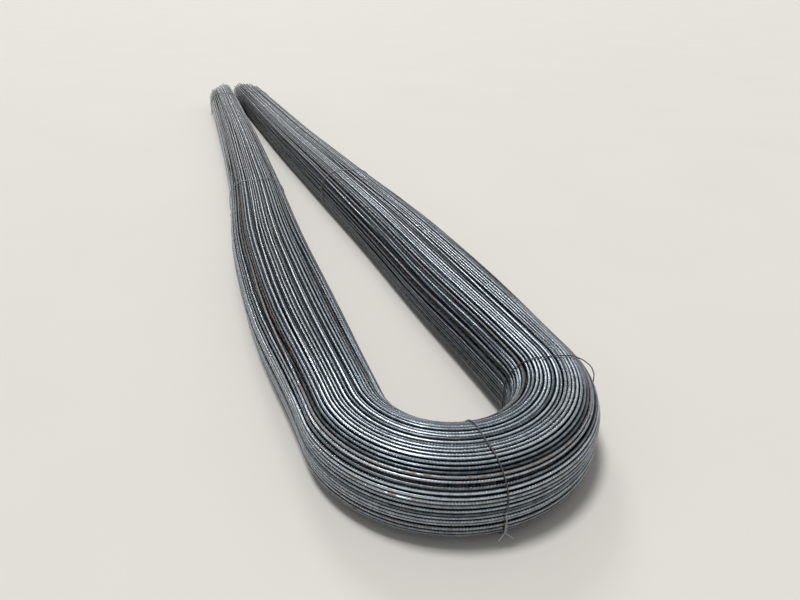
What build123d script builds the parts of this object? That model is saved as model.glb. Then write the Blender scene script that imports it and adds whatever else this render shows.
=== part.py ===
from build123d import *
import os
from math import cos, degrees, pi, radians, sin, tan

# A bundle of long ribbed reinforcing bars, tied with wire and bent double like a hairpin.
# It lies on the floor: the bend faces -Y, the two legs run side by side to +Y, and +Z is up.
# Sizes are in millimetres.

# the bars
bar_diameter = 10.0  # nominal size, without the ribs
stock_length = 11700.0  # of each bar before it is bent
outer_bars = 72  # bars in the layer that shows
end_slip = 45.0  # how far a bar has slipped along the bundle, at most

# the bend, measured to the middle of the bundle
bend_radius = 322.0
bend_width = 264.0
bend_height = 240.0
bend_lead = 150.0  # straight stretch before the legs fan out

# corners of the bundle's section
crown_radius = 100.0
foot_radius = 65.0

# each leg: distance behind the bend, distance from the middle, width, height
fan_start = (620.0, 335.0, 348.0, 216.0)
fan_end = (1350.0, 320.0, 350.0, 216.0)
leg_tie = (2050.0, 264.0, 304.0, 226.0)
gather = (3200.0, 206.0, 288.0, 222.0)
end_tie = (4850.0, 150.0, 262.0, 216.0)
far_end = (5700.0, 134.0, 254.0, 214.0)

# the tie wires
wire_diameter = 3.4
wire_clearance = 0.3  # from the bars and from the floor
tie_straight = 120.0  # stretch in which the bars run straight through a tie
front_tie_angle = -97.0  # round the bend, from +X
shoulder_tie_angle = -12.0
shoulder_tie_slack = 22.0  # how far it stands off the outer side
twist_diameter = 6.2
twist_length = 38.0
twist_height = 84.0  # of its upper end above the floor
tail_length = 24.0
tail_angle = 35.0  # from the twist

# the core that stands for the bars inside
core_clearance = 0.3  # round the bend
tie_core_clearance = 3.0  # in a tie
leg_core_clearance = 9.0  # where the bars bow between one place and the next
core_reach = 5080.0  # behind the bend

bar_radius = bar_diameter / 2
wire_radius = wire_diameter / 2
tie_offset = wire_radius + wire_clearance  # middle of a tie wire from the bundle's surface
tie_lift = wire_diameter + 2 * wire_clearance  # of bars that pass over a tie wire
bend_share = 0.45  # of the shorter run beside a corner that its arc takes up
least_turn = 0.01  # degrees, under which a corner needs no arc
uneven_step = 2.4  # radians, from one bar to the next


class Section:
    """One cross-section of a leg: a rounded shape with its foot at the bottom."""

    def __init__(self, back, spread, width, height, lift=0.0, core_gap=leg_core_clearance):
        self.back = back
        self.spread = spread
        self.width = width
        self.height = height
        self.lift = lift
        self.core_gap = core_gap

    def outline(self, inset, slack=0.0):
        """Closed outline, X pointing away from the other leg, from the middle of the foot."""
        low = self.lift + inset
        high = self.lift + self.height - inset
        inner = inset - self.width / 2
        outer = self.width / 2 - inset + slack
        foot = foot_radius - inset
        crown = crown_radius - inset
        return Wire(
            [
                Line((0, low), (outer - foot, low)),
                CenterArc((outer - foot, low + foot), foot, -90, 90),
                Line((outer, low + foot), (outer, high - crown)),
                CenterArc((outer - crown, high - crown), crown, 0, 90),
                Line((outer - crown, high), (inner + crown, high)),
                CenterArc((inner + crown, high - crown), crown, 90, 90),
                Line((inner, high - crown), (inner, low + foot)),
                CenterArc((inner + foot, low + foot), foot, 180, 90),
                Line((inner + foot, low), (0, low)),
            ]
        )

    def seats(self):
        """Middle of each bar of the outer layer, evenly spaced round the outline."""
        ring = self.outline(bar_radius)
        step = ring.length / outer_bars
        middles = [ring.position_at((n + 0.5) * step, PositionMode.LENGTH) for n in range(outer_bars)]
        return [Vector(self.spread + spot.X, self.back, spot.Y) for spot in middles]

    def mixed(self, other, share):
        """The section part of the way from this one to another."""
        pairs = zip(vars(self).values(), vars(other).values())
        return Section(*[mine + (theirs - mine) * share for mine, theirs in pairs])


def leg_sections():
    """Every section that the bars pass through, from the end of the bend to the far end."""
    bend = (bend_radius, bend_width, bend_height, tie_lift)
    sections = [Section(0, *bend, core_clearance), Section(bend_lead, *bend, tie_core_clearance)]
    places = [fan_start, fan_end, leg_tie, gather, end_tie, far_end]
    for index, place in enumerate(places):
        if place not in (leg_tie, end_tie):
            sections.append(Section(*place))
            continue
        back, spread, width, height = place
        before, after = places[index - 1], places[index + 1]
        lean = (after[1] - before[1]) / (after[0] - before[0])
        for step in (-tie_straight / 2, tie_straight / 2):
            there = (back + step, spread + lean * step, width, height)
            sections.append(Section(*there, tie_lift, tie_core_clearance))
    return sections


def rounded(points, length):
    """Straight runs joined by tangent arcs, of the given length from the first point on."""
    edges = []
    start = points[0]
    for before, corner, after in zip(points, points[1:], points[2:]):
        run_in, run_out = corner - before, after - corner
        turn = radians(run_in.get_angle(run_out))
        if turn < radians(least_turn):
            continue
        ahead_in, ahead_out = run_in.normalized(), run_out.normalized()
        reach = bend_share * min(run_in.length, run_out.length)
        bow = reach / tan(turn / 2) * (1 / cos(turn / 2) - 1)
        middle = corner + (ahead_out - ahead_in).normalized() * bow
        arc_start, arc_end = corner - ahead_in * reach, corner + ahead_out * reach
        edges += [Line(start, arc_start), ThreePointArc(arc_start, middle, arc_end)]
        start = arc_end
    left_over = length - sum(edge.length for edge in edges)
    ahead = (points[-1] - start).normalized()
    return edges + [Line(start, start + ahead * left_over)]


def flipped(point):
    """The same point on the other leg."""
    return Vector(-point.X, point.Y, point.Z)


def bent_bar(number, sections_seats):
    """One bar: along the left leg, round the bend and back along the right leg."""
    right = [seats[number] for seats in sections_seats]
    left = [flipped(point) for point in right]
    radius, height = right[0].X, right[0].Z
    half = (stock_length - pi * radius) / 2
    slip = end_slip * sin(uneven_step * number)
    round_bend = CenterArc((0, 0, height), radius, 180, 180)
    path = Wire([*rounded(left, half + slip), round_bend, *rounded(right, half - slip)])
    profile = Plane(origin=path @ 0, z_dir=path % 0) * Circle(bar_radius)
    return sweep(profile, path=path)


def bar_groups(seats):
    """Numbers of the outer bars by where they lie in the bundle."""
    floor = min(seat.Z for seat in seats)
    flat = [n for n, seat in enumerate(seats) if seat.Z < floor + wire_clearance]
    outward = max(flat, key=lambda n: seats[n].X)
    inward = min(flat, key=lambda n: seats[n].X)
    groups = {"bearing_bars": [outward, inward]}
    for number, seat in enumerate(seats):
        if number in (outward, inward):
            continue
        side = "outer" if seat.X > bend_radius else "inner"
        if seat.Z < foot_radius / 2:
            name = f"{side}_under_bars"
        elif seat.Z > bend_height - crown_radius / 2:
            name = f"{side}_top_bars"
        else:
            name = f"{side}_side_bars"
        groups.setdefault(name, []).append(number)
    return groups


def hidden_core(sections):
    """The bars inside, as one solid that keeps clear of the outer layer."""
    *whole, last, beyond = sections
    share = (core_reach - last.back) / (beyond.back - last.back)
    slices = []
    for section in [*whole, last, last.mixed(beyond, share)]:
        plane = Plane(origin=(section.spread, section.back, 0), x_dir=(1, 0, 0), z_dir=(0, -1, 0))
        slices.append(plane * Face(section.outline(bar_diameter + section.core_gap)))
    leg = loft(slices, ruled=True)
    bend = revolve(slices[0], axis=Axis.Z, revolution_arc=-180)
    return bend + leg + mirror(leg, about=Plane.YZ)


def tie(section, plane, slack=0.0):
    """A wire round the bundle with its ends twisted together on the outer side."""
    loop = plane * section.outline(-tie_offset, slack)
    ring = sweep(Plane(origin=loop @ 0, z_dir=loop % 0) * Circle(wire_radius), path=loop)
    outside = section.width / 2 + tie_offset + slack
    twist_top = Vector(outside + twist_diameter / 2, twist_height, 0)
    twist_foot = twist_top - Vector(0, twist_length, 0)
    pieces = [rod(twist_top, twist_foot, twist_diameter)]
    for side in (-1, 1):
        lean = radians(tail_angle)
        way = Vector(0, -cos(lean), side * sin(lean))
        root = twist_foot - way * wire_radius + Vector(0, wire_diameter, 0)
        pieces.append(rod(root, root + way * tail_length, wire_diameter))
    return ring + [plane * piece for piece in pieces]


def rod(start, end, diameter):
    """A plain round rod between two points."""
    along = Plane(origin=start, z_dir=end - start)
    return extrude(along * Circle(diameter / 2), (end - start).length)


def bend_plane(angle):
    """Upright plane through the bundle, part of the way round the bend."""
    out = Vector(cos(radians(angle)), sin(radians(angle)), 0)
    return Plane(origin=out * bend_radius, x_dir=out, z_dir=out.cross(Vector(0, 0, 1)))


def leg_plane(place, side):
    """Upright plane across one leg: side is 1 for the right leg and -1 for the left."""
    back, spread = place[:2]
    return Plane(origin=(side * spread, back, 0), x_dir=(side, 0, 0), z_dir=(0, -side, 0))


def ties(bend):
    """The tie wires, by name."""
    round_leg = Section(*leg_tie, tie_lift)
    round_end = Section(*end_tie, tie_lift)
    return {
        "front_tie": tie(bend, bend_plane(front_tie_angle)),
        "shoulder_tie": tie(bend, bend_plane(shoulder_tie_angle), shoulder_tie_slack),
        "left_leg_tie": tie(round_leg, leg_plane(leg_tie, -1)),
        "right_leg_tie": tie(round_leg, leg_plane(leg_tie, 1)),
        "left_end_tie": tie(round_end, leg_plane(end_tie, -1)),
        "right_end_tie": tie(round_end, leg_plane(end_tie, 1)),
    }


def build():
    """All nodes, with the origin under the middle of the whole bundle."""
    sections = leg_sections()
    sections_seats = [section.seats() for section in sections]
    nodes = {"hidden_core": hidden_core(sections)}
    for name, numbers in bar_groups(sections_seats[0]).items():
        nodes[name] = Compound([bent_bar(number, sections_seats).solid() for number in numbers])
    nodes.update(ties(sections[0]))
    box = Compound(list(nodes.values())).bounding_box()
    place = Location((0, -box.center().Y, 0))
    return {name: place * node for name, node in nodes.items()}


os.makedirs("parts", exist_ok=True)
for name, node in build().items():
    export_step(node, f"parts/{name}.step")
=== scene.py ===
import math

import bpy
import numpy as np
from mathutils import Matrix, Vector


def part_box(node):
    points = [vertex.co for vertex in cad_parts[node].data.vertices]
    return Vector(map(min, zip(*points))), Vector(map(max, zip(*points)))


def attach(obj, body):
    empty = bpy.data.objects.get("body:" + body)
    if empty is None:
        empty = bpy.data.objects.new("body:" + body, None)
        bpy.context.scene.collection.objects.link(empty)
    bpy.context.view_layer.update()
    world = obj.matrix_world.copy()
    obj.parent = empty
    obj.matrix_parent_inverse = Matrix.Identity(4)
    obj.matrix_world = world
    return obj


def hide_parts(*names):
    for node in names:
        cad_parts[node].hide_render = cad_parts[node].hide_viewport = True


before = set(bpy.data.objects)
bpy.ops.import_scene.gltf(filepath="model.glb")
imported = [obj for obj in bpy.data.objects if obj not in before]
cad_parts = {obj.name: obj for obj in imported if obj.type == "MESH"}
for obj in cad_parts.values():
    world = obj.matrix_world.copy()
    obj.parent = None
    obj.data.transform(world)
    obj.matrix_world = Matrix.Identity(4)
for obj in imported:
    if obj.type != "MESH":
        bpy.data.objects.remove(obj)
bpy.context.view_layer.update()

# A bundle of ribbed reinforcing bars, tied with wire and bent double like a hairpin.
# It lies on the floor: the bend faces -Y and the two legs run to +Y. Sizes are in metres.

random = np.random.default_rng(4711)

bundle = {
    "barDiameter": 0.010,
    "stockLength": 11.7,  # of each bar, measured along it
    "endSlip": 0.045,  # how far a bar has slipped along the bundle, at most
    "bendRadius": 0.322,  # to the middle of the bundle
    "crownRadius": 0.100,
    "footRadius": 0.065,
}

# distance behind the bend, distance from the middle, width, height, height of the foot
legPlaces = [
    (0.000, 0.322, 0.264, 0.240, 0.004),
    (0.150, 0.327, 0.278, 0.239, 0.004),  # fuller than the solids, so that the legs have hardly a waist
    (0.620, 0.335, 0.348, 0.216, 0.0),
    (1.350, 0.320, 0.350, 0.216, 0.0),
    (2.050, 0.264, 0.304, 0.226, 0.004),
    (3.200, 0.206, 0.288, 0.222, 0.0),
    (4.850, 0.150, 0.262, 0.216, 0.004),
    (5.700, 0.134, 0.254, 0.214, 0.0),
    (6.300, 0.124, 0.248, 0.214, 0.0),
]
legTieBack, endTieBack = legPlaces[4][0], legPlaces[6][0]

# the middle of the bend lies behind the front of the outermost bars by their bend's radius
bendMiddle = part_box("outer_side_bars")[0][1] + bundle["bendRadius"] + legPlaces[0][2] / 2
legEase = 0.20  # along the bundle, over which a change of section is spread
easeSamples = 7
barRadius = bundle["barDiameter"] / 2
tiny = 1e-9  # keeps divisions clear of zero


# nodes and colours

def linearColour(hexText):
    parts = [int(hexText[i:i + 2], 16) / 255 for i in (1, 3, 5)]
    return [p / 12.92 if p <= 0.04045 else ((p + 0.055) / 1.055) ** 2.4 for p in parts] + [1.0]


# an input is a value, an output socket, or a node whose first output in use is meant
def addNode(tree, kind, inputs=None, **settings):
    node = tree.nodes.new("ShaderNode" + kind)
    for name, value in settings.items():
        setattr(node, name, value)
    for name, value in (inputs or {}).items():
        if isinstance(value, bpy.types.Node):
            value = next(output for output in value.outputs if output.enabled)
        if isinstance(value, bpy.types.NodeSocket):
            tree.links.new(value, node.inputs[name])
        else:
            node.inputs[name].default_value = value
    return node


def newMaterial(name):
    material = bpy.data.materials.new(name)
    material.use_nodes = True
    tree = material.node_tree
    tree.nodes.clear()
    return material, tree


# the bundle's cross-sections

# spread, width, height and foot of the bundle at distances behind the bend
def sectionsAt(back):
    table = np.array(legPlaces)
    eased = [back + shift for shift in np.linspace(-legEase, legEase, easeSamples)]
    return np.stack([np.mean([np.interp(at, table[:, 0], table[:, c]) for at in eased], axis=0)
                     for c in (1, 2, 3, 4)], axis=-1)


# point on the section's outline, moved in by inset, from the middle of the foot outward
def outlinePoint(section, inset, share):
    width, height, foot = section[..., 1], section[..., 2], section[..., 3]
    low, top = foot + inset, foot + height - inset
    half = width / 2 - inset
    footR, crownR = bundle["footRadius"] - inset, bundle["crownRadius"] - inset
    flat, side, roof = half - footR, top - low - footR - crownR, 2 * (half - crownR)
    footArc, crownArc = math.pi / 2 * footR, math.pi / 2 * crownR
    # the runs of the outline: half the foot, foot arc, side, crown arc, roof, and back down
    runs = np.stack([flat, footArc, side, crownArc, roof, crownArc, side, footArc, flat])
    ends = np.cumsum(runs, axis=0)
    along = (share % 1.0) * ends[-1]
    run = along - (ends - runs)
    foot1, crown1, crown2, foot2 = run[1] / footR, run[3] / crownR, run[5] / crownR, run[7] / footR
    xs = [run[0], half - footR + footR * np.sin(foot1), half + 0 * along,
          half - crownR + crownR * np.cos(crown1), half - crownR - run[4],
          -half + crownR - crownR * np.sin(crown2), -half + 0 * along,
          -half + footR - footR * np.cos(foot2), -half + footR + run[8]]
    zs = [low + 0 * along, low + footR - footR * np.cos(foot1), low + footR + run[2],
          top - crownR + crownR * np.sin(crown1), top + 0 * along,
          top - crownR + crownR * np.cos(crown2), top - crownR - run[6],
          low + footR - footR * np.sin(foot2), low + 0 * along]
    picks = [along <= e for e in ends[:-1]]
    return np.stack([np.select(picks, xs[:-1], xs[-1]), np.select(picks, zs[:-1], zs[-1])], axis=-1)


# distance inside the section's outline, and the direction straight out of it
def depthInside(section, spots):
    middle = section[..., 3] + section[..., 2] / 2
    x, z = spots[..., 0], spots[..., 1] - middle
    corner = np.where(z > 0, bundle["crownRadius"], bundle["footRadius"])
    qx = np.abs(x) - section[..., 1] / 2 + corner
    qz = np.abs(z) - section[..., 2] / 2 + corner
    ox, oz = np.maximum(qx, 0), np.maximum(qz, 0)
    reach = np.hypot(ox, oz)
    outside = np.minimum(np.maximum(qx, qz), 0) + reach - corner
    rounded = reach > tiny
    nx = np.where(rounded, ox / np.maximum(reach, tiny), (qx >= qz) * 1.0) * np.sign(x)
    nz = np.where(rounded, oz / np.maximum(reach, tiny), (qx < qz) * 1.0) * np.sign(z)
    return -outside, np.stack([nx, nz], axis=-1)


# how the bars lie

bars = {
    "layers": (70, 64, 56),  # bars in each layer, from the outside in
    "sides": (10, 8, 6),  # facets round a bar of each layer
    "layerDepth": 0.0098,  # from one layer's middle to the next
    "clearance": 0.0003,  # from the outline
    "looseGap": 0.0010,  # between bars that lie side by side
    "firstStep": 0.045,  # from the bend to the first station of a leg
    "stepGrowth": 1.3,  # from one step to the next, until the steps are legStep long
    "legStep": 0.20,
    "reach": 6.2,  # of the stations behind the bend
    "bendSteps": 30,
    "uneven": 0.55,  # of the pitch, between one bar and the next
    "cornerCut": 0.25,  # roughly what the rounded corners take off the way round the bundle
    "wander": 0.010,  # sideways drift of a bar along a leg
    "wanderWave": 8.0,
    "dive": 0.009,  # drift towards the middle of the bundle along a leg
    "diveWave": 7.0,
    "bendWander": 0.004,
    "bendDive": 0.0050,
    "driftWaves": ((1.0, 0.8), (2.1, 0.35)),  # rate and height of the waves that make up a drift
    "driftRates": (0.75, 1.25),
    "looseFrom": 0.05,  # distance behind the bend from which the bars lie looser
    "looseOver": 0.8,
    "rounds": 140,  # of pushing the bars apart
    "lastRounds": 8,  # without smoothing
    "push": 0.62,  # share of the way that a round moves them
    "pairRounds": 8,  # from one search for neighbours to the next
    "pairReach": 1.6,  # how far apart neighbours are, at most, in least distances
    "deepest": 0.06,  # no ring is deeper than this
    "liftBack": 0.5,  # share of the way that a bar which sank too deep is lifted in a round
    "leastDepth": (0.0, 0.0075, 0.0145),  # of each layer under the outline
    "drawnRadius": 0.0045,  # of a bar between its ribs
    "ribbedLead": 0.10,  # how far up the legs the ribs are modelled
    "fineLead": 0.2,  # how far up the legs a bar has twice the points
    "endStep": 0.01,  # from a cut end to the next point, at least
    "topFrom": 0.72,  # share of the height from which a bar counts as a top bar
    "bottomTo": 0.25,
    "stiffness": 0.35,  # share of the way that a smoothing takes a bar towards straight
    "smoothings": 3,  # in a round
    "ribTwist": 0.5,  # turns in a metre, at most, that a bar has twisted on its way into the bundle
    "ringFill": 0.66,  # share of the ring's area that its bars take up
    "shownDepth": 0.007,  # in which a bar goes from lying on the outside to being hidden, and its painted highlight fades out
    "wearAndHighlightWeight": (0.44, 0.24, 0.4),  # strength of the painted highlight, partly where hands and slings rub it: anywhere, more outside, more on top
}


# distance behind the bend and turn round it of each station, from the left end to the right end
def stations():
    manySteps = np.arange(60)  # more than the reach takes
    steps = np.minimum(bars["firstStep"] * bars["stepGrowth"] ** manySteps, bars["legStep"])
    backs = np.cumsum(steps)
    backs = backs[backs < bars["reach"]]
    for tieBack in (legTieBack, endTieBack):  # a wire is bent round the bars of a station
        backs[np.argmin(np.abs(backs - tieBack))] = tieBack
    legCount = len(backs)
    turns = np.linspace(-180, 0, bars["bendSteps"] + 1)
    back = np.concatenate([backs[::-1], np.zeros(len(turns)), backs])
    turn = np.concatenate([np.full(legCount, -180.0), turns, np.full(legCount, 0.0)])
    return back, np.radians(turn)


# gentle random curves along the bars, about 1 high, with the given wavelength
def smoothDrift(count, places, wave):
    total = np.zeros((count, len(places)))
    for octave, height in bars["driftWaves"]:
        phase = random.uniform(0, 2 * math.pi, (count, 1))
        rate = random.uniform(*bars["driftRates"], (count, 1)) * octave * 2 * math.pi / wave
        total += height * np.sin(places[None, :] * rate + phase)
    return total


# middle of every bar in every station: x away from the other leg, and height
def layBars():
    back, turn = stations()
    section = sectionsAt(back)[None]
    pathPlace = np.where(np.arange(len(back)) < len(back) / 2, -back, back)
    pathPlace = pathPlace + bundle["bendRadius"] * (turn + math.pi / 2)
    looseness = np.clip((back - bars["looseFrom"]) / bars["looseOver"], 0, 1)[None]
    looseness = looseness * looseness * (3 - 2 * looseness)
    perimeter = section[..., 1] * 2 + section[..., 2] * 2 - bars["cornerCut"]
    spots = []
    for layer, count in enumerate(bars["layers"]):
        share = (np.arange(count) + random.uniform(-1, 1, count) * bars["uneven"] / 2) / count
        share = share[:, None] + layer * 0.5 / count  # each layer half a pitch on from the one above
        wander = bars["bendWander"] + (bars["wander"] - bars["bendWander"]) * looseness
        share = share + smoothDrift(count, pathPlace, bars["wanderWave"]) * wander / perimeter
        dive = bars["bendDive"] + (bars["dive"] - bars["bendDive"]) * looseness
        inset = barRadius + bars["clearance"] + layer * bars["layerDepth"]
        inset = inset + np.abs(smoothDrift(count, pathPlace, bars["diveWave"])) * dive
        wide = np.broadcast_to(section, (count, len(back), 4))
        spots.append(outlinePoint(wide, inset, share))
    return back, turn, np.concatenate(spots)


# how deep a ring has to be to hold that many bars
def innerDepth(section, count):
    area = count * math.pi * barRadius ** 2 / bars["ringFill"]
    low, high = np.zeros(len(section)), np.full(len(section), bars["deepest"])

    def filled(depth):
        corners = (bundle["footRadius"] - depth) ** 2 + (bundle["crownRadius"] - depth) ** 2
        return (section[:, 1] - 2 * depth) * (section[:, 2] - 2 * depth) - (2 - math.pi / 2) * corners

    for _ in range(30):  # halves the span each time
        middle = (low + high) / 2
        enough = filled(0) - filled(middle) > area
        high, low = np.where(enough, middle, high), np.where(enough, low, middle)
    return high


# pushes the bars apart until they lie side by side, and keeps each one smooth
def settleBars(back, spots):
    count, places = spots.shape[:2]
    section = sectionsAt(back)
    wide = np.broadcast_to(section[None], (count, places, 4))
    deepest = innerDepth(section, count)[None]
    least = 2 * barRadius + bars["looseGap"]
    shallowest = barRadius + bars["clearance"] + np.repeat(bars["leastDepth"], bars["layers"])[:, None]
    upper = np.triu_indices(count, 1)
    size = np.stack([section[:, 1] / 2, section[:, 2]], axis=-1)
    foot = np.stack([0 * section[:, 3], section[:, 3]], axis=-1)
    for step in range(bars["rounds"]):
        if step % bars["pairRounds"] == 0:  # only neighbours can touch, and they change slowly
            first, second = [], []
            for p in range(places):
                gap = spots[upper[0], p] - spots[upper[1], p]
                near = (gap ** 2).sum(-1) < (least * bars["pairReach"]) ** 2
                first.append(upper[0][near] * places + p)
                second.append(upper[1][near] * places + p)
            first, second = np.concatenate(first), np.concatenate(second)
        flat = spots.reshape(-1, 2)
        gap = flat[first] - flat[second]
        apart = np.maximum(np.hypot(gap[:, 0], gap[:, 1]), tiny)
        push = np.maximum(least - apart, 0) / apart * 0.5  # each of the two takes half
        moved = np.zeros_like(flat)
        for axis in (0, 1):
            shove = gap[:, axis] * push
            moved[:, axis] = np.bincount(first, shove, len(flat)) - np.bincount(second, shove, len(flat))
        spots = (flat + bars["push"] * moved).reshape(spots.shape)
        if step < bars["rounds"] - bars["lastRounds"]:
            shares = (spots - foot) / size  # of the section, so that a bar bows out as the bundle does
            for _ in range(bars["smoothings"]):
                middle = (shares[:, 2:] + shares[:, :-2]) / 2
                shares[:, 1:-1] += bars["stiffness"] * (middle - shares[:, 1:-1])
            spots = shares * size + foot
        inside, out = depthInside(wide, spots)
        shallow = np.maximum(shallowest - inside, 0)
        deep = np.maximum(inside - deepest, 0)
        spots = spots - out * shallow[..., None] + out * deep[..., None] * bars["liftBack"]
    return spots


# the stations' spots as points of the part's frame
def placed(back, turn, spots):
    spread = sectionsAt(back)[:, 0]
    radius = spread + spots[..., 0]
    x = np.where(back > 0, np.sign(np.cos(turn)) * radius, np.cos(turn) * radius)
    y = np.where(back > 0, back, np.sin(turn) * radius)
    return np.stack([x, y + bendMiddle + 0 * x, spots[..., 1]], axis=-1)


# how the outside of the bundle lies from each point of a bar: a direction, and the strength of its painted
# highlight, partly wear, from most on its skin to 0 inside
def outwardFrom(line):
    away = np.c_[line[:, 0], np.minimum(line[:, 1] - bendMiddle, 0)]
    radius = np.linalg.norm(away, axis=1)
    away = away / radius[:, None]
    section = sectionsAt(np.maximum(line[:, 1] - bendMiddle, 0))
    inside, out = depthInside(section, np.c_[radius - section[:, 0], line[:, 2]])
    shown = np.clip(1 - (inside - barRadius) / bars["shownDepth"], 0, 1)
    anywhere, outside, onTop = bars["wearAndHighlightWeight"]
    wearAndHighlightWeight = anywhere + outside * out[:, 0] + onTop * np.maximum(out[:, 1], 0)
    return np.c_[away * out[:, :1], out[:, 1]], shown * wearAndHighlightWeight


# slope of a smooth curve at the middle one of three points with these chords between them
def slopeAt(before, here, after, chordIn, chordOut):
    slopeIn, slopeOut = (here - before) / chordIn, (after - here) / chordOut
    return (slopeOut * chordIn + slopeIn * chordOut) / (chordIn + chordOut)


# more points on a smooth curve through these: extra[i] of them after point i
def smoothed(points, extra):
    result = []
    last = len(points) - 1
    for i in range(last):
        before, start, end, after = points[max(i - 1, 0)], points[i], points[i + 1], points[min(i + 2, last)]
        pairs = ((before, start), (start, end), (end, after))
        chords = [max(float(np.linalg.norm(b - a)), tiny) for a, b in pairs]
        straight = (end - start) / chords[1]
        slopeIn = slopeAt(before, start, end, *chords[:2]) if i else straight
        slopeOut = slopeAt(start, end, after, *chords[1:]) if i < last - 1 else straight
        for t in np.arange(extra[i] + 1) / (extra[i] + 1):
            ease = 3 * t**2 - 2 * t**3
            bend = (t**3 - 2 * t**2 + t) * slopeIn + (t**3 - t**2) * slopeOut
            result.append((1 - ease) * start + ease * end + bend * chords[1])
    result.append(points[-1])
    return np.array(result)


# how far along the line through these points each of them lies
def distancesAlong(points):
    return np.concatenate([[0], np.cumsum(np.linalg.norm(np.diff(points, axis=0), axis=1))])


# the middle of a line, of the given length, shifted along it by slip
def cutToLength(points, length, slip):
    along = distancesAlong(points)
    start = (along[-1] - length) / 2 + slip
    end = start + length
    keep = (along > start + bars["endStep"]) & (along < end - bars["endStep"])
    places = np.concatenate([[start], along[keep], [end]])
    return np.stack([np.interp(places, along, points[:, c]) for c in range(3)], axis=1), places - start


# tubes

class MeshParts:
    # collects tubes for one mesh, with a map that runs along and round each of them;
    # a tone is the scale's lightness, the rust, 1 where the material raises the ribs, and the painted
    # highlight, partly wear

    def __init__(self):
        self.points, self.tones = [], []
        self.corners, self.maps, self.sizes, self.slots = [], [], [], []
        self.count = 0

    def addTube(self, rings, along, tone, roll=0.0, twist=0.0):
        rows, sides = rings.shape[:2]
        base = self.count
        self.points.append(rings.reshape(-1, 3))
        self.tones.append(np.broadcast_to(tone, (rows, sides, 4)).reshape(-1, 4))
        self.count += rows * sides
        row, side = np.meshgrid(np.arange(rows - 1), np.arange(sides), indexing="ij")
        nextRow, nextSide = row + 1, (side + 1) % sides
        quads = base + np.stack([row * sides + side, row * sides + nextSide,
                                 nextRow * sides + nextSide, nextRow * sides + side], axis=-1)
        u = np.stack([along[row], along[row], along[row + 1], along[row + 1]], axis=-1)
        v = np.stack([side, side + 1, side + 1, side], axis=-1) / sides + roll + twist * u
        self.addFaces(quads.reshape(-1, 4), np.stack([u, v], axis=-1).reshape(-1, 4, 2), 0)
        ring = np.arange(sides)
        for face in (base + ring[::-1], base + (rows - 1) * sides + ring):
            self.addFaces(face[None], np.zeros((1, sides, 2)), 1)

    # ridges of triangular section, each given by the three corners of its sections in turn
    def addRidges(self, points, sections, tones):
        base = self.count + np.arange(len(points))[:, None] * sections * 3
        self.points.append(points.reshape(-1, 3))
        self.tones.append(tones.reshape(-1, 4))
        self.count += points.shape[0] * sections * 3
        for section in range(sections - 1):
            for edge in range(3):
                first, second = section * 3 + edge, section * 3 + (edge + 1) % 3
                faces = base + np.array([[first, first + 3, second + 3, second]])
                self.addFaces(faces, np.zeros((len(points), 4, 2)), 0)
        last = (sections - 1) * 3
        for corners in ([0, 1, 2], [last + 2, last + 1, last]):
            self.addFaces(base + np.array([corners]), np.zeros((len(points), 3, 2)), 0)

    def addFaces(self, faces, mapped, slot):
        self.corners.append(faces.ravel())
        self.maps.append(mapped.reshape(-1, 2))
        self.sizes.append(np.full(len(faces), faces.shape[1]))
        self.slots.append(np.full(len(faces), slot))

    def build(self, name, materials):
        points, corners = np.concatenate(self.points), np.concatenate(self.corners)
        sizes, slots = np.concatenate(self.sizes), np.concatenate(self.slots)
        mesh = bpy.data.meshes.new(name)
        mesh.vertices.add(len(points))
        mesh.vertices.foreach_set("co", points.astype(np.float32).ravel())
        mesh.loops.add(len(corners))
        mesh.loops.foreach_set("vertex_index", corners.astype(np.int32))
        mesh.polygons.add(len(sizes))
        mesh.polygons.foreach_set("loop_start", (np.cumsum(sizes) - sizes).astype(np.int32))
        for material in materials:
            mesh.materials.append(material)
        mesh.polygons.foreach_set("material_index", np.minimum(slots, len(materials) - 1).astype(np.int32))
        mesh.polygons.foreach_set("use_smooth", slots == 0)
        layer = mesh.uv_layers.new(name="barMap")
        layer.data.foreach_set("uv", np.concatenate(self.maps).astype(np.float32).ravel())
        tones = np.concatenate(self.tones)
        tone = mesh.attributes.new("barTone", "FLOAT_COLOR", "POINT")
        tone.data.foreach_set("color", tones.astype(np.float32).ravel())
        mesh.update(calc_edges=True)
        mesh.validate()
        piece = bpy.data.objects.new(name, mesh)
        bpy.context.scene.collection.objects.link(piece)
        triangles = int((sizes - 2).sum())
        print(f"{name}: {triangles} triangles")
        return piece


# steel and wire

scale = {
    "dark": "#121e26",
    "light": "#798791",
    "wearAndHighlight": "#d4dde5",  # painted highlight, partly wear: rib tops, and the outer side of the outermost bars
    "rust": "#5f4b3d",
    "ribSpacing": 8.5,  # mm along the bar: the real ones are 7 mm apart, drawn coarser so that they show
    "ribHeight": 0.85,  # mm
    "ribSlant": 9.0,  # mm along the bar from one end of a rib to the other
    "ribWidth": 0.17,  # half of it, in shares of the spacing
    "ribFade": (0.44, 0.2),  # places across a row, from the end of a rib to where it is full
    "seamRise": 0.7,  # of the ribs' height
    "patch": 18.0,  # mm, size of the tone patches in the scale
    "cloud": 0.7,  # how much they change the tone
    "wearAndHighlightPatches": (1.6, 0.2),  # how much they change the painted highlight, and what is left of it without them
    "rustEdge": (0.42, 0.62),  # of the patches, from clean to rusty
    "grain": 2.5,  # mm, coarser than real scale so that it shows
    "grainRise": 0.03,  # mm
    "gloss": 0.17,  # roughness of the smoothest scale
    "grainRough": 0.14,  # added by the grain
    "rustRough": 0.25,
    "metal": (0.85, 0.2),  # of clean scale and of rust
    "bump": 0.85,
}


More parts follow.
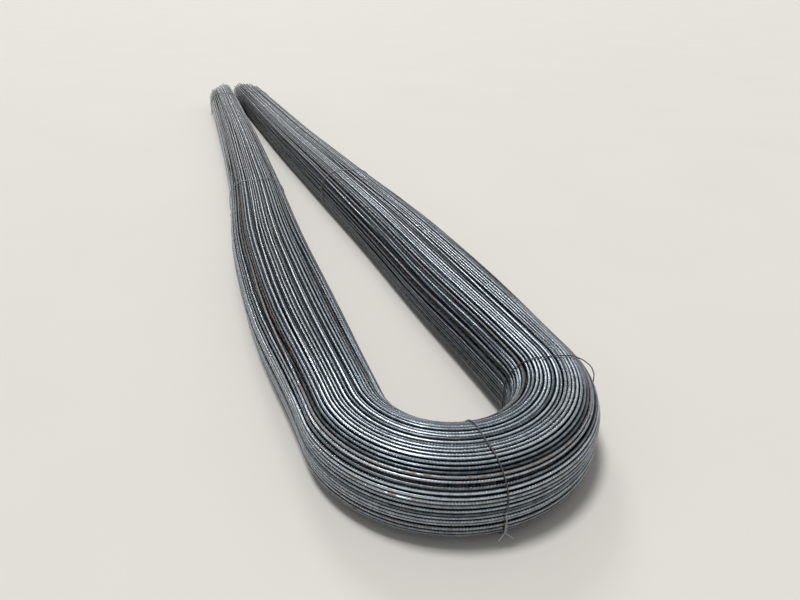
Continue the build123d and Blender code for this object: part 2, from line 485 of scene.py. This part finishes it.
tones = {
    "range": ((0.0, 0.48), (0.0, 0.12), (0.0, 0.06)),  # of each layer, from dark to light scale; the inner layers are darker, as painted shade
    "paintedInnerShade": 0.5,  # painted shade: the share of that tone left to the bars on the side towards the other leg
    "rusty": 8,  # one bar in so many has rust
    "wearAndHighlight": (0.3, 3.0),  # painted highlight, partly wear, of the ribs on a bar's outermost side
    "between": 0.44,  # of the painted highlight on its ribs, that the bar has between them
    "line": 6,  # the higher, the narrower the painted highlight along a bar
}


# dark blue-grey mill scale, as it leaves the rolling mill: a satin lustre, and a painted highlight,
# partly wear, on the rib tops and the outermost side, so that each bar reads as a light line with dark
# flanks
def hotRolledSteel():
    material, tree = newMaterial("hotRolledSteel")
    barTone = addNode(tree, "Attribute", attribute_name="barTone")
    tone, rust, ribbed = addNode(tree, "SeparateColor", {0: barTone}).outputs
    place = addNode(tree, "SeparateXYZ", {0: addNode(tree, "UVMap", uv_map="barMap")})

    # two rows of crescent ribs that slant opposite ways, with a seam between the rows
    halves = addNode(tree, "Math", {0: place.outputs[1], 1: 2.0}, operation="MULTIPLY")
    row = addNode(tree, "Math", {0: halves}, operation="FLOOR")
    row = addNode(tree, "Math", {0: row, 1: 2.0}, operation="MODULO")
    way = addNode(tree, "Math", {0: row, 1: 2.0, 2: -1.0}, operation="MULTIPLY_ADD")
    across = addNode(tree, "Math", {0: halves}, operation="FRACT")
    across = addNode(tree, "Math", {0: across, 1: -0.5})
    lean = addNode(tree, "Math", {0: across, 1: way}, operation="MULTIPLY")
    along = addNode(tree, "Math", {0: lean, 1: scale["ribSlant"] / 1000, 2: place.outputs[0]},
                    operation="MULTIPLY_ADD")
    phase = addNode(tree, "Math", {0: along, 1: 1000 / scale["ribSpacing"]}, operation="MULTIPLY")
    phase = addNode(tree, "Math", {0: phase}, operation="FRACT")
    fromRib = addNode(tree, "Math", {0: phase, 1: -0.5})
    fromRib = addNode(tree, "Math", {0: fromRib}, operation="ABSOLUTE")
    ridge = addNode(tree, "MapRange", {"Value": fromRib, "From Min": scale["ribWidth"], "From Max": 0.0})
    fromMiddle = addNode(tree, "Math", {0: across}, operation="ABSOLUTE")
    ribEnd, ribFull = scale["ribFade"]
    fade = addNode(tree, "MapRange", {"Value": fromMiddle, "From Min": ribEnd, "From Max": ribFull})
    crescents = addNode(tree, "Math", {0: ridge, 1: fade}, operation="MULTIPLY")
    # painted highlight, partly wear: full on the rib crests, weaker between them
    wearAndHighlightWeight = addNode(tree, "MapRange", {"Value": crescents, "To Min": tones["between"], "To Max": 1.0})
    wearAndHighlightWeight = addNode(tree, "Mix", {"Factor": ribbed, 2: 1.0, 3: wearAndHighlightWeight})
    crescents = addNode(tree, "Math", {0: crescents, 1: ribbed}, operation="MULTIPLY")
    seam = addNode(tree, "MapRange", {"Value": fromMiddle, "From Min": ribEnd, "From Max": 0.5,
                                      "To Max": scale["seamRise"]})
    ribs = addNode(tree, "Math", {0: crescents, 1: seam}, operation="MAXIMUM")

    coords = addNode(tree, "TexCoord").outputs["Object"]
    patches = addNode(tree, "TexNoise", {"Vector": coords, "Scale": 1000 / scale["patch"], "Detail": 4.0,
                                         "Roughness": 0.6}).outputs["Fac"]
    grain = addNode(tree, "TexNoise", {"Vector": coords, "Scale": 1000 / scale["grain"],
                                       "Detail": 2.0}).outputs["Fac"]

    # every bar has its own tone, clouded by patches in the scale
    clouded = addNode(tree, "Math", {0: patches, 1: scale["cloud"], 2: -scale["cloud"] / 2},
                      operation="MULTIPLY_ADD")
    blend = addNode(tree, "Math", {0: clouded, 1: tone}, use_clamp=True)
    base = addNode(tree, "Mix", {"Factor": blend, 6: linearColour(scale["dark"]),
                                 7: linearColour(scale["light"])}, data_type="RGBA")
    # the mesh's painted highlight, made patchy, lightens the scale towards pale grey
    wearAndHighlightShare = addNode(tree, "Math", {0: wearAndHighlightWeight, 1: barTone.outputs["Alpha"]}, operation="MULTIPLY")
    wearAndHighlightPatches = addNode(tree, "Math", {0: patches, 1: scale["wearAndHighlightPatches"][0], 2: scale["wearAndHighlightPatches"][1]},
                   operation="MULTIPLY_ADD")
    wearAndHighlightShare = addNode(tree, "Math", {0: wearAndHighlightShare, 1: wearAndHighlightPatches}, operation="MULTIPLY", use_clamp=True)
    wearAndHighlightColour = addNode(tree, "Mix", {"Factor": wearAndHighlightShare, 6: base, 7: linearColour(scale["wearAndHighlight"])},
                     data_type="RGBA")
    clean, rusty = scale["rustEdge"]
    rustMask = addNode(tree, "MapRange", {"Value": patches, "From Min": clean, "From Max": rusty})
    rustMask = addNode(tree, "Math", {0: rustMask, 1: rust}, operation="MULTIPLY")
    colour = addNode(tree, "Mix", {"Factor": rustMask, 6: wearAndHighlightColour, 7: linearColour(scale["rust"])},
                     data_type="RGBA")

    roughness = addNode(tree, "Math", {0: grain, 1: scale["grainRough"], 2: scale["gloss"]},
                        operation="MULTIPLY_ADD")
    roughness = addNode(tree, "Math", {0: rustMask, 1: scale["rustRough"], 2: roughness},
                        operation="MULTIPLY_ADD")
    metallic = addNode(tree, "MapRange", {"Value": rustMask, "To Min": scale["metal"][0],
                                          "To Max": scale["metal"][1]})
    ribRise = addNode(tree, "Math", {0: ribs, 1: scale["ribHeight"] / 1000}, operation="MULTIPLY")
    rise = addNode(tree, "Math", {0: grain, 1: scale["grainRise"] / 1000, 2: ribRise},
                   operation="MULTIPLY_ADD")
    bump = addNode(tree, "Bump", {"Height": rise, "Distance": 1.0, "Strength": scale["bump"]})
    shader = addNode(tree, "BsdfPrincipled", {"Base Color": colour, "Metallic": metallic,
                                              "Roughness": roughness, "Normal": bump})
    addNode(tree, "OutputMaterial", {"Surface": shader})
    return material


cutFace = {
    "torn": "#7d7a76",
    "browned": "#8f7b69",
    "grain": 10 / 3,  # mm, three in a centimetre: coarser than torn steel so that it shows
    "metal": 0.6,
    "rough": 0.5,
}


# ends cut by a bar shear: bare torn steel, paler than the scale, soon browned by rust
def shearedSteel():
    material, tree = newMaterial("shearedSteel")
    coords = addNode(tree, "TexCoord").outputs["Object"]
    noise = addNode(tree, "TexNoise", {"Vector": coords, "Scale": 1000 / cutFace["grain"], "Detail": 3.0})
    colour = addNode(tree, "Mix", {"Factor": noise, 6: linearColour(cutFace["torn"]),
                                   7: linearColour(cutFace["browned"])}, data_type="RGBA")
    shader = addNode(tree, "BsdfPrincipled", {"Base Color": colour, "Metallic": cutFace["metal"],
                                              "Roughness": cutFace["rough"]})
    addNode(tree, "OutputMaterial", {"Surface": shader})
    return material


oxide = {
    "dark": "#121314",
    "light": "#2a2a29",
    "bright": "#a4a8aa",  # bare steel where the oxide is scraped off, also the colour of a painted reflection on some loops
    "patch": 100 / 9,  # mm, nine patches in ten centimetres
    "metal": (0.15, 0.9),  # of the oxide and of bare steel
    "rough": 0.5,
    "rise": 0.2,  # mm
}


# black annealed tie wire: drawn smooth, then annealed to a thin dark oxide with a dull lustre,
# and scraped to bright steel where the pliers twisted it; a painted reflection lightens some loops towards
# that bright steel as well
def annealedWire():
    material, tree = newMaterial("annealedWire")
    scrapeAndGleam = addNode(tree, "SeparateColor", {0: addNode(tree, "Attribute", attribute_name="barTone")})
    coords = addNode(tree, "TexCoord").outputs["Object"]
    noise = addNode(tree, "TexNoise", {"Vector": coords, "Scale": 1000 / oxide["patch"], "Detail": 4.0})
    colour = addNode(tree, "Mix", {"Factor": noise, 6: linearColour(oxide["dark"]),
                                   7: linearColour(oxide["light"])}, data_type="RGBA")
    colour = addNode(tree, "Mix", {"Factor": scrapeAndGleam, 6: colour, 7: linearColour(oxide["bright"])},
                     data_type="RGBA")
    metallic = addNode(tree, "MapRange", {"Value": scrapeAndGleam, "To Min": oxide["metal"][0],
                                          "To Max": oxide["metal"][1]})
    bump = addNode(tree, "Bump", {"Height": noise, "Distance": oxide["rise"] / 1000, "Strength": 0.5})
    shader = addNode(tree, "BsdfPrincipled", {"Base Color": colour, "Metallic": metallic,
                                              "Roughness": oxide["rough"], "Normal": bump})
    addNode(tree, "OutputMaterial", {"Surface": shader})
    return material


steel, cutSteel, wireSteel = hotRolledSteel(), shearedSteel(), annealedWire()


# the bars that show

back, turn, spots = layBars()
spots = settleBars(back, spots)
paths = placed(back, turn, spots)
print(f"laid {len(paths)} bars through {len(back)} sections")


ribs = {
    "spacing": scale["ribSpacing"] / 1000,
    "slant": scale["ribSlant"] / 1000,
    "height": scale["ribHeight"] / 1000,
    "foot": 0.0015,  # half the width of a rib at its foot
    "sunk": 0.0003,  # of its foot below the bar's surface
    "rows": ((0.25, -1), (0.75, 1)),  # place round the bar, and which way the ribs slant
    # of a rib, from end to end: place across its row, share of the height
    "sections": ((-0.43, 0.1), (-0.2, 1.0), (0.2, 1.0), (0.43, 0.1)),
}


# crescent ribs in two rows, on one stretch of a bar
def addRibs(parts, line, along, start, end, roll, twist, tone, rust, wearAndHighlight):
    over, across = pathFrames(line)
    outward, shown = outwardFrom(line)
    frames = np.c_[line, over, across, outward, shown]
    steps = np.arange(math.ceil(start / ribs["spacing"]), math.floor(end / ribs["spacing"])) + 0.5
    middles = steps * ribs["spacing"]
    for row, way in ribs["rows"]:
        points, shades = [], []
        for share, height in ribs["sections"]:
            place = middles - share * way * ribs["slant"]
            angle = 2 * math.pi * (row + share / 2 - roll - twist * place)[:, None]
            for shift, rise in ((-1, -ribs["sunk"]), (0, ribs["height"] * height), (1, -ribs["sunk"])):
                there = place + shift * ribs["foot"]
                at = np.stack([np.interp(there, along, column) for column in frames.T], axis=1)
                facing = np.cos(angle) * at[:, 3:6] + np.sin(angle) * at[:, 6:9]
                points.append(at[:, :3] + (bars["drawnRadius"] + rise) * facing)
                crest = shift == 0  # painted highlight, partly wear, on the crest, and painted shade at the foot of a rib, drawn as the darkest scale
                wearAndHighlightShare = wearAndHighlight * at[:, 12] * np.maximum((facing * at[:, 9:12]).sum(-1), 0) * crest
                lightness = tone * crest
                shades.append(np.c_[np.tile([lightness, rust, 0.0], (len(at), 1)), wearAndHighlightShare])
        parts.addRidges(np.stack(points, axis=1), len(ribs["sections"]), np.stack(shades, axis=1))


# joined meshes of the bars, by where they lie in the bend
def makeBars():
    middle = len(back) // 2
    section = sectionsAt(np.zeros(1))[0]
    extra = [1 if 0 < abs(math.degrees(t)) < 180 or b < bars["fineLead"] else 0
             for b, t in zip(back, turn)]
    groups = {name: MeshParts() for name in ("top_bars", "bottom_bars", "outside_bars", "inside_bars",
                                             "top_bar_ribs", "outside_bar_ribs")}
    layerOf = np.repeat(np.arange(len(bars["layers"])), bars["layers"])
    for number, path in enumerate(paths):
        spot = spots[number, middle]
        height = (spot[1] - section[3]) / section[2]
        side = spot[0] / (section[1] / 2)
        if height > bars["topFrom"] and abs(side) < height:
            group = "top_bars"
        elif height < bars["bottomTo"]:
            group = "bottom_bars"
        else:
            group = "outside_bars" if side > 0 else "inside_bars"
        layer = layerOf[number]
        slip = random.uniform(-1, 1) * bundle["endSlip"]
        line, along = cutToLength(smoothed(path, extra), bundle["stockLength"], slip)
        tone, wearAndHighlight = random.uniform(*tones["range"][layer]), random.uniform(*tones["wearAndHighlight"])
        # painted shade on the bars on the side towards the other leg
        if group == "inside_bars":
            tone = tone * tones["paintedInnerShade"]
        rust = max(0.0, random.uniform(1 - tones["rusty"], 1))
        roll, twist = random.uniform(0, 1), random.uniform(-bars["ribTwist"], bars["ribTwist"])
        ribPiece = group.replace("bars", "bar_ribs")
        ribbed = np.ones(len(line))
        if layer == 0 and ribPiece in groups:
            atBend = line[:, 1] < bendMiddle + bars["ribbedLead"]
            start, end = along[atBend][0], along[atBend][-1]
            ribbed[atBend] = 0.0
            addRibs(groups[ribPiece], line, along, start, end, roll, twist, tone, rust, wearAndHighlight)
        rings = tubeRings(line, bars["drawnRadius"], bars["sides"][layer])
        # painted highlight, partly wear: a narrow light line along the side of a bar that faces out of the
        # bundle, gone on deeper bars and weaker between modelled ribs
        outward, shown = outwardFrom(line)
        facing = ((rings - line[:, None]) * outward[:, None]).sum(-1) / bars["drawnRadius"]
        wearAndHighlightShare = wearAndHighlight * shown[:, None] * np.maximum(facing, 0) ** tones["line"]
        wearAndHighlightShare = wearAndHighlightShare * np.where(ribbed > 0, 1.0, tones["between"])[:, None]
        plain = np.broadcast_to(np.c_[0 * ribbed + tone, 0 * ribbed + rust, ribbed][:, None],
                                (*wearAndHighlightShare.shape, 3))
        groups[group].addTube(rings, along, np.concatenate([plain, wearAndHighlightShare[..., None]], axis=-1), roll, twist)
    return {name: parts.build(name, [steel, cutSteel]) for name, parts in groups.items()}


# directions over and across a path at each of its points
def pathFrames(path):
    ahead = np.gradient(path, axis=0)
    ahead /= np.linalg.norm(ahead, axis=1)[:, None]
    across = turnedAlong(ahead)
    return np.cross(across, ahead), across


# rings of points round a path
def tubeRings(path, radius, sides):
    over, across = pathFrames(path)
    angle = np.arange(sides) / sides * 2 * math.pi
    around = np.cos(angle)[None, :, None] * over[:, None] + np.sin(angle)[None, :, None] * across[:, None]
    return path[:, None] + around * radius


# a direction square to the path at each point, turning as little as it can
def turnedAlong(ahead):
    start = np.cross(ahead[0], [0.0, 0.0, 1.0])
    if np.linalg.norm(start) < 0.1:  # nearly upright
        start = np.cross(ahead[0], [0.0, 1.0, 0.0])
    result = [start / np.linalg.norm(start)]
    for way in ahead[1:]:
        kept = result[-1] - way * np.dot(result[-1], way)
        result.append(kept / np.linalg.norm(kept))
    return np.array(result)


# the solids that each piece takes the place of
barNodes = {
    "top_bars": ("inner_top_bars", "outer_top_bars"),
    "bottom_bars": ("inner_under_bars", "outer_under_bars", "bearing_bars"),
    "outside_bars": ("outer_side_bars",),
    "inside_bars": ("inner_side_bars",),
    "top_bar_ribs": ("inner_top_bars", "outer_top_bars"),
    "outside_bar_ribs": ("outer_side_bars",),
}

barPieces = makeBars()
for name, nodes in barNodes.items():
    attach(barPieces[name], "root")
    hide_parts(*nodes)


# the bars inside, which show only in the gaps and at the cut ends

core = {
    "around": 48,
    "tone": (0.5, 0.0, 1.0, 0.0),  # middling scale without rust, and without the painted highlight
    "mapStep": 0.1,  # of its map from one section to the next
    "overlap": 0.4,  # of a bar's radius, that it reaches into the ring of bars
    "end": 4.95,  # where the plain middle stops and the separate bars begin
    "lap": 0.12,
    "bends": (5.2, 6.2),  # behind the bend, where the separate bars turn a little, and past their ends
    "pitch": 0.0112,  # of the separate bars
    "lowest": 0.012,
    "columns": 14,  # each way from the middle, and rows: more than fit, for the outline cuts them off
    "rows": 24,
    "leastDepth": 0.034,  # under the outline: above that are the bars that show
    "tones": (0.0, 0.5),
    "sides": 6,
}


# a plain middle as far as the core goes, and separate bars from there to the cut ends
def makeHiddenBars():
    parts = MeshParts()
    keep = back <= core["end"]
    section = sectionsAt(back[keep])
    depth = innerDepth(sectionsAt(back), len(spots))[keep]
    share = np.arange(core["around"]) / core["around"]
    count = len(section)
    wide = np.broadcast_to(section[None], (len(share), count, 4))
    inset = depth[None] - barRadius * core["overlap"] + 0 * share[:, None]
    rings = outlinePoint(wide, inset, share[:, None] + 0 * inset)
    rings = placed(back[keep], turn[keep], rings).transpose(1, 0, 2)
    parts.addTube(rings[:, ::-1], np.arange(count) * core["mapStep"], core["tone"])
    ends = np.array([core["end"] - core["lap"], *core["bends"]])
    ending = sectionsAt(ends)
    row = core["pitch"] * math.sqrt(3) / 2
    for side in (-1, 1):
        for i in range(-core["columns"], core["columns"] + 1):
            for j in range(core["rows"]):
                spot = np.array([(i + 0.5 * (j % 2)) * core["pitch"], core["lowest"] + j * row])
                inside = depthInside(ending, np.broadcast_to(spot, (len(ends), 2)))[0]
                if inside.min() < core["leastDepth"]:
                    continue
                x = side * (ending[:, 0] + spot[0])
                line = np.stack([x, ends + bendMiddle, spot[1] + 0 * x], axis=1)
                slip = random.uniform(-1, 1) * bundle["endSlip"]
                stop = (bundle["stockLength"] - math.pi * (bundle["bendRadius"] + spot[0])) / 2 + slip
                last = line[-2] + (line[-1] - line[-2]) * (stop - ends[-2]) / (ends[-1] - ends[-2])
                line = np.vstack([line[:-1], last])
                tone = (random.uniform(*core["tones"]), 0.0, 1.0, 0.0)
                parts.addTube(tubeRings(line, bars["drawnRadius"], core["sides"]), distancesAlong(line),
                              tone, random.uniform(0, 1))
    return parts.build("hidden_bars", [steel, cutSteel])


hiddenBars = makeHiddenBars()
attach(hiddenBars, "root")
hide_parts("hidden_core")


# tie wires

tie = {
    "wire": 0.0034,
    "clearance": 0.0003,
    "sides": 8,
    "steps": 96,  # points round a loop
    "twistTop": 0.084,
    "loopStart": 0.02,  # above the top of the twist, where the loop starts
    "loopGap": (3, 2),  # points left out at its start and end, for the strands to join it
    "twistLength": 0.038,
    "twistPitch": 0.015,
    "twistPoints": 12,  # in a turn
    "twistOff": 1.4,  # wire radii from the loop to the middle of the twist
    "tail": 0.026,
    "tailAngle": 35.0,
    "tailOut": 0.25,  # how much it stands off
    "tailPoints": (0.35, 0.7, 1.0),  # shares of its length
    "slackEase": 3,  # the higher, the shorter the stretch that stands off
    "shine": 0.8,  # of the twisted ends, where the pliers scraped them
}

# where each tie goes: turn round the bend or distance behind it, side, slack, lean along the bundle,
# and a painted reflection that lightens its loop towards bare steel
tieWires = {
    "front_tie": {"turn": -97.0, "slack": 0.0, "lean": 0.10, "paintedGleam": 0.12},
    "shoulder_tie": {"turn": -12.0, "slack": 0.022, "lean": 0.0, "paintedGleam": 0.0},
    "left_leg_tie": {"back": legTieBack, "side": -1, "slack": 0.0, "lean": 0.0, "paintedGleam": 0.7},
    "right_leg_tie": {"back": legTieBack, "side": 1, "slack": 0.0, "lean": 0.0, "paintedGleam": 0.7},
    "left_end_tie": {"back": endTieBack, "side": -1, "slack": 0.0, "lean": 0.0, "paintedGleam": 0.3},
    "right_end_tie": {"back": endTieBack, "side": 1, "slack": 0.0, "lean": 0.0, "paintedGleam": 0.3},
}


# corners of the outline round these points, counter-clockwise
def hull(points):
    points = sorted(map(tuple, points))

    def half(ordered):
        chain = []
        for p in ordered:
            while len(chain) > 1 and ((chain[-1][0] - chain[-2][0]) * (p[1] - chain[-2][1])
                                      - (chain[-1][1] - chain[-2][1]) * (p[0] - chain[-2][0])) <= 0:
                chain.pop()
            chain.append(p)
        return chain[:-1]

    return np.array(half(points) + half(points[::-1]))


# the outline that a wire makes when it is pulled round these bars, as evenly spaced points
def rolledOut(corners, radius):
    path = []
    for i, corner in enumerate(corners):
        before, after = corners[i - 1], corners[(i + 1) % len(corners)]
        wayIn, wayOut = corner - before, after - corner
        start = math.atan2(-wayIn[0], wayIn[1])
        swing = (math.atan2(-wayOut[0], wayOut[1]) - start) % (2 * math.pi)
        for step in (0.0, 0.5, 1.0):
            angle = start + swing * step
            path.append(corner + radius * np.array([math.cos(angle), math.sin(angle)]))
    path = np.array(path + path[:1])
    along = distancesAlong(path)
    places = np.linspace(0, along[-1], tie["steps"] + 1)[:-1]
    return np.stack([np.interp(places, along, path[:, c]) for c in range(2)], axis=1)


# number of the station nearest to a tie
def stationFor(place):
    if "turn" in place:
        away = np.where(back == 0, np.abs(np.degrees(turn) - place["turn"]), np.inf)
    else:
        sides = np.where(np.arange(len(back)) < len(back) / 2, -1, 1)
        away = np.where(sides == place["side"], np.abs(back - place["back"]), np.inf)
    return int(np.argmin(away))


# one strand of the twist, from its top down, and its tail; points are x, height and distance along
def twistStrand(centre, lean, offset):
    radius = tie["wire"] / 2
    turns = tie["twistLength"] / tie["twistPitch"]
    steps = np.linspace(0, 1, int(turns * tie["twistPoints"]))
    angle = steps * turns * 2 * math.pi + offset
    strand = np.c_[centre[0] + radius * np.cos(angle), centre[1] - steps * tie["twistLength"],
                   lean * centre[0] + radius * np.sin(angle)]
    away = math.radians(tie["tailAngle"]) * (1 if offset else -1)
    tailWay = np.array([tie["tailOut"], -math.cos(away), math.sin(away)])
    tailWay = tailWay / np.linalg.norm(tailWay) * tie["tail"]
    return np.vstack([strand, strand[-1] + np.outer(tie["tailPoints"], tailWay)])


# one wire: a tail, a strand of the twist, the loop, the other strand and its tail
def makeTie(name, place):
    station = stationFor(place)
    radius = tie["wire"] / 2
    loop = rolledOut(hull(spots[:, station]), barRadius + radius + tie["clearance"])
    section = sectionsAt(back[station:station + 1])[0]
    outer = loop[:, 0].max()
    fromStart = np.abs(loop[:, 1] - tie["twistTop"] - tie["loopStart"])
    start = int(np.argmin(np.where(loop[:, 0] < 0, np.inf, fromStart)))
    loop = np.roll(loop, -start, axis=0)
    loop[:, 0] += place["slack"] * np.clip(loop[:, 0] / outer, 0, 1) ** tie["slackEase"]
    centre = (loop[0, 0] + radius * tie["twistOff"], tie["twistTop"])
    around = loop[tie["loopGap"][0]:-tie["loopGap"][1]]
    around = np.c_[around, place["lean"] * around[:, 0]]
    strands = [twistStrand(centre, place["lean"], offset) for offset in (0.0, math.pi)]
    path = np.vstack([strands[0][::-1], around, strands[1]])
    # the twisted ends scraped bright by the pliers, and the loop lightened by a painted reflection
    shine = np.repeat([tie["shine"], place["paintedGleam"], tie["shine"]],
                      [len(strands[0]), len(around), len(strands[1])])
    path = smoothed(path, [1] * (len(path) - 1))
    shine = np.repeat(shine, 2)[:len(path)]
    radii = section[0] + path[:, 0]
    if "turn" in place:
        angle = math.radians(place["turn"]) + path[:, 2] / section[0]
        whole = np.c_[np.cos(angle) * radii, np.sin(angle) * radii + bendMiddle, path[:, 1]]
    else:
        whole = np.c_[place["side"] * radii, place["back"] + path[:, 2] + bendMiddle, path[:, 1]]
    parts = MeshParts()
    tone = np.c_[shine, np.zeros((len(shine), 3))][:, None]
    parts.addTube(tubeRings(whole, radius, tie["sides"]), distancesAlong(whole), tone)
    piece = parts.build(name + "_wire", [wireSteel])
    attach(piece, "root")
    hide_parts(name)


for name, place in tieWires.items():
    makeTie(name, place)


# floor, light and camera

studio = {
    "floor": ("#d4d1cb", "#d9d6d0"),
    "floorClouds": 1.2,  # in a metre
    "floorRough": 0.8,
    "floorHalf": 200.0,
    "sky": 0.36,  # strength of the sky's soft light, where 1 is white
    "skyRise": (-0.05, 0.6),  # heights between which the horizon turns to the zenith
    "horizon": "#e2dfd9",
    "zenith": "#ffffff",
    # each lamp: strength, spread in degrees, and the way its light goes
    "lamps": {"softboxAbove": (2.0, 15.0, (0.15, -0.15, -1.0)),
              "softboxBehind": (0.6, 15.0, (-0.1, -0.77, -0.64))},
    "lampDistance": 5.0,
    "cameraPlace": (-0.643, -1.335, 1.293),  # from the middle of the bend, on the floor
    "cameraYaw": 20.3,  # to the right of +Y
    "cameraPitch": 29.2,  # down
    "lens": 27.0,
    "sensor": 36.0,
    "sight": (0.05, 500.0),  # nearest and farthest that the camera sees
}


# pale plaster, trowelled smooth: matt and even, with faint clouds
def makeFloor():
    mesh = bpy.data.meshes.new("floor")
    half = studio["floorHalf"]
    corners = [(-half, -half, 0), (half, -half, 0), (half, half, 0), (-half, half, 0)]
    mesh.from_pydata(corners, [], [(0, 1, 2, 3)])
    floor = bpy.data.objects.new("floor", mesh)
    bpy.context.scene.collection.objects.link(floor)
    material, tree = newMaterial("palePlaster")
    coords = addNode(tree, "TexCoord").outputs["Object"]
    noise = addNode(tree, "TexNoise", {"Vector": coords, "Scale": studio["floorClouds"], "Detail": 3.0})
    colour = addNode(tree, "Mix", {"Factor": noise, 6: linearColour(studio["floor"][0]),
                                   7: linearColour(studio["floor"][1])}, data_type="RGBA")
    shader = addNode(tree, "BsdfPrincipled", {"Base Color": colour, "Roughness": studio["floorRough"]})
    addNode(tree, "OutputMaterial", {"Surface": shader})
    mesh.materials.append(material)


def makeLight():
    world = bpy.data.worlds.new("studio")
    bpy.context.scene.world = world
    world.use_nodes = True
    tree = world.node_tree
    tree.nodes.clear()
    up = addNode(tree, "SeparateXYZ", {0: addNode(tree, "TexCoord").outputs["Generated"]})
    low, high = studio["skyRise"]
    rise = addNode(tree, "MapRange", {"Value": up.outputs[2], "From Min": low, "From Max": high})
    colour = addNode(tree, "Mix", {"Factor": rise, 6: linearColour(studio["horizon"]),
                                   7: linearColour(studio["zenith"])}, data_type="RGBA")
    rays = addNode(tree, "LightPath").outputs
    shown = addNode(tree, "Math", {0: rays["Is Camera Ray"], 1: rays["Is Glossy Ray"]},
                    operation="MAXIMUM")
    shown = addNode(tree, "Math", {0: shown, 1: rays["Is Transmission Ray"]}, operation="MAXIMUM")
    level = addNode(tree, "MapRange", {"Value": shown, "To Min": studio["sky"], "To Max": 1.0})
    background = addNode(tree, "Background", {"Color": colour, "Strength": level})
    addNode(tree, "OutputWorld", {"Surface": background})
    for name, (strength, spread, way) in studio["lamps"].items():
        lamp = bpy.data.lights.new(name, "SUN")
        lamp.energy, lamp.angle = strength, math.radians(spread)
        light = bpy.data.objects.new(name, lamp)
        light.location = -studio["lampDistance"] * Vector(way)
        light.rotation_euler = Vector(way).to_track_quat("-Z", "Y").to_euler()
        bpy.context.scene.collection.objects.link(light)


def makeCamera():
    yaw, pitch = math.radians(studio["cameraYaw"]), math.radians(studio["cameraPitch"])
    ahead = Vector((math.sin(yaw) * math.cos(pitch), math.cos(yaw) * math.cos(pitch), -math.sin(pitch)))
    lens = bpy.data.cameras.new("camera")
    lens.lens, lens.sensor_width = studio["lens"], studio["sensor"]
    lens.clip_start, lens.clip_end = studio["sight"]
    camera = bpy.data.objects.new("camera", lens)
    camera.location = Vector(studio["cameraPlace"]) + Vector((0, bendMiddle, 0))
    camera.rotation_euler = ahead.to_track_quat("-Z", "Y").to_euler()
    bpy.context.scene.collection.objects.link(camera)
    bpy.context.scene.camera = camera


makeFloor()
makeLight()
makeCamera()
bpy.context.scene.view_settings.view_transform = "Standard"
print("lit and framed")

bpy.context.view_layer.update()
